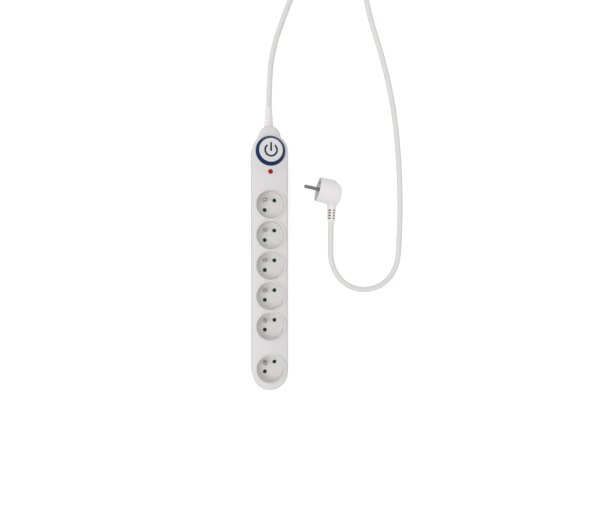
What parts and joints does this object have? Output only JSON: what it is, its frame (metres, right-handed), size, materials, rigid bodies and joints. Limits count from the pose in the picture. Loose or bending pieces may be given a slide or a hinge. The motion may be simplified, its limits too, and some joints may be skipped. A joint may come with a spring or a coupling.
{
  "type": "power strip",
  "caption": "Long white power strip with round earthed sockets, a large round push switch, a red indicator and a corded angled plug.",
  "frame": {"origin": "under the middle of the housing, on the surface that its feet stand on", "axes": "+Y along the strip towards the switch and the cord outlet, +Z up out of the sockets, +X to the right seen from above with +Y up"},
  "size_m": [0.2265, 0.6647, 0.047],
  "materials": {
    "cover_white": "fine satin moulded plastic",
    "base_white": "fine textured moulded plastic",
    "foot_rubber": "matt",
    "screw_steel": "zinc plated",
    "retainer_grey": "moulded",
    "pin_nickel": "nickel plated",
    "rail_brass": "stamped strip",
    "button_white": "satin gloss",
    "button_blue": "deep blue, slightly translucent",
    "symbol_navy": "satin",
    "switch_grey": "moulded",
    "switch_black": "moulded",
    "spring_steel": "drawn wire",
    "lens_red": "clear red lens",
    "lamp_glass": "clear",
    "resistor_body": "lacquered",
    "wire_brown": "PVC insulation",
    "wire_blue": "PVC insulation",
    "wire_green": "green and yellow PVC insulation",
    "cord_white": "soft PVC sheath",
    "tie_grey": "flexible band",
    "plug_white": "moulded soft PVC",
    "liner_brown": "moulded",
    "plug_grey": "hard moulded insert",
    "plug_nickel": "nickel plated",
    "shutter_green": "moulded"
  },
  "bodies": {
    "housing": {"top_cover": "cover_white", "bottom_cover": "base_white", "rubber_feet": "foot_rubber", "housing_screws": "screw_steel", "shutter_retainers": "retainer_grey", "earth_pins": "pin_nickel", "live_rail": "rail_brass", "neutral_rail": "rail_brass", "earth_rail": "rail_brass", "button_spring": "spring_steel", "switch_body": "switch_black", "switch_terminals": "rail_brass", "indicator_lens": "lens_red", "indicator_lamp": "lamp_glass", "indicator_resistor": "resistor_body", "live_wires": "wire_brown", "neutral_wires": "wire_blue", "earth_wire": "wire_green", "cord_clamp": "retainer_grey", "clamp_screws": "screw_steel", "cord_boot": "cord_white", "cord_run_strip": "cord_white", "cord_coil": "cord_white", "coil_tie": "tie_grey", "cord_run_plug": "cord_white", "plug_body": "plug_white", "plug_face": "plug_grey", "plug_pins": "plug_nickel", "plug_earth_clips": "plug_nickel", "plug_earth_socket": "plug_nickel", "plug_relief": "plug_white", "plug_relief_liner": "liner_brown", "shutter_spring_1": "spring_steel", "shutter_spring_2": "spring_steel", "shutter_spring_3": "spring_steel", "shutter_spring_4": "spring_steel", "shutter_spring_5": "spring_steel", "shutter_spring_6": "spring_steel"},
    "button": {"button_cap": "button_white", "button_skirt": "button_blue", "power_symbol": "symbol_navy", "switch_plunger": "switch_grey"},
    "contacts": {"contact_carrier": "switch_grey", "contact_bridges": "rail_brass"},
    "shutter_1": {"shutter_1": "shutter_green"},
    "shutter_2": {"shutter_2": "shutter_green"},
    "shutter_3": {"shutter_3": "shutter_green"},
    "shutter_4": {"shutter_4": "shutter_green"},
    "shutter_5": {"shutter_5": "shutter_green"},
    "shutter_6": {"shutter_6": "shutter_green"}
  },
  "joints": [
    {"name": "button_press", "type": "slide", "parent": "housing", "child": "button", "axis": [0, 0, -1], "range_m": [0, 0.0035], "stiffness_N_per_m": 1500, "springref_m": -0.002, "deforming": ["button_spring"]},
    {"name": "contact_slide", "type": "slide", "parent": "housing", "child": "contacts", "axis": [0, 0, -1], "range_m": [0, 0.00175]},
    {"name": "shutter_1_turn", "type": "hinge", "parent": "housing", "child": "shutter_1", "pos_m": [0, 0.0734, 0.0219], "axis": [0, 0, 1], "range_deg": [0, 38], "stiffness_Nm_per_rad": 0.003, "springref_deg": -17.19, "deforming": ["shutter_spring_1"]},
    {"name": "shutter_2_turn", "type": "hinge", "parent": "housing", "child": "shutter_2", "pos_m": [0, 0.0317, 0.0219], "axis": [0, 0, 1], "range_deg": [0, 38], "stiffness_Nm_per_rad": 0.003, "springref_deg": -17.19, "deforming": ["shutter_spring_2"]},
    {"name": "shutter_3_turn", "type": "hinge", "parent": "housing", "child": "shutter_3", "pos_m": [0, -0.01, 0.0219], "axis": [0, 0, 1], "range_deg": [0, 38], "stiffness_Nm_per_rad": 0.003, "springref_deg": -17.19, "deforming": ["shutter_spring_3"]},
    {"name": "shutter_4_turn", "type": "hinge", "parent": "housing", "child": "shutter_4", "pos_m": [0, -0.0517, 0.0219], "axis": [0, 0, 1], "range_deg": [0, 38], "stiffness_Nm_per_rad": 0.003, "springref_deg": -17.19, "deforming": ["shutter_spring_4"]},
    {"name": "shutter_5_turn", "type": "hinge", "parent": "housing", "child": "shutter_5", "pos_m": [0, -0.0934, 0.0219], "axis": [0, 0, 1], "range_deg": [0, 38], "stiffness_Nm_per_rad": 0.003, "springref_deg": -17.19, "deforming": ["shutter_spring_5"]},
    {"name": "shutter_6_turn", "type": "hinge", "parent": "housing", "child": "shutter_6", "pos_m": [0, -0.152, 0.0219], "axis": [0, 0, 1], "range_deg": [0, 38], "stiffness_Nm_per_rad": 0.003, "springref_deg": -17.19, "deforming": ["shutter_spring_6"]}
  ],
  "couplings": [
    {"joint": "contact_slide", "follows": "button_press", "ratio": 0.5}
  ]
}
